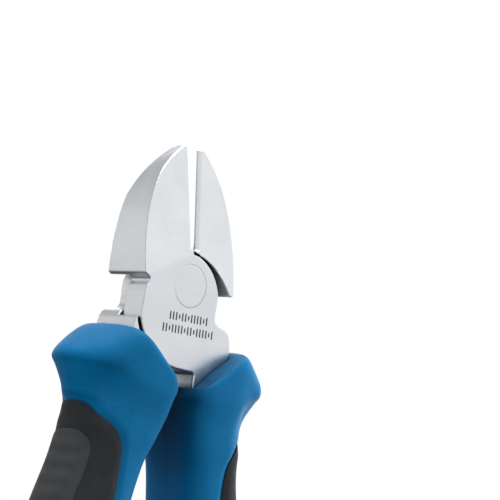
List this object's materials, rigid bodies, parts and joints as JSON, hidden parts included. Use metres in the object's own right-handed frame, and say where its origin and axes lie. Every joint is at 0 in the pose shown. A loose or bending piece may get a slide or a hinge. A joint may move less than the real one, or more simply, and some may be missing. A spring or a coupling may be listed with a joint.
{
  "type": "diagonal cutter",
  "caption": "Lap-jointed diagonal side cutter: satin steel jaws with front bevels, flush pivot rivet and thick blue two-component grips with black and grey soft zones.",
  "frame": {"origin": "on the pivot axis, in the flush back face of the joint", "axes": "+Z along the tool towards the jaw tips, +Y out of the back face, +X to the right seen from the front"},
  "size_m": [0.0546, 0.0204, 0.1598],
  "materials": {
    "steel": "satin ground chrome vanadium steel",
    "blue_plastic": "fine-textured blue grip plastic",
    "black_rubber": "soft black grip zone",
    "grey_rubber": "dark grey soft pad"
  },
  "bodies": {
    "rear_half": {"rear_lever": "steel", "pivot_rivet": "steel", "left_grip_shell": "blue_plastic", "left_grip_insert": "black_rubber", "left_grip_pad": "grey_rubber"},
    "front_half": {"front_lever": "steel", "right_grip_shell": "blue_plastic", "right_grip_insert": "black_rubber", "right_grip_pad": "grey_rubber"}
  },
  "joints": [
    {"name": "pivot", "type": "hinge", "parent": "rear_half", "child": "front_half", "pos_m": [0, 0, 0], "axis": [0, -1, 0], "range_deg": [-4.9, 20]}
  ]
}
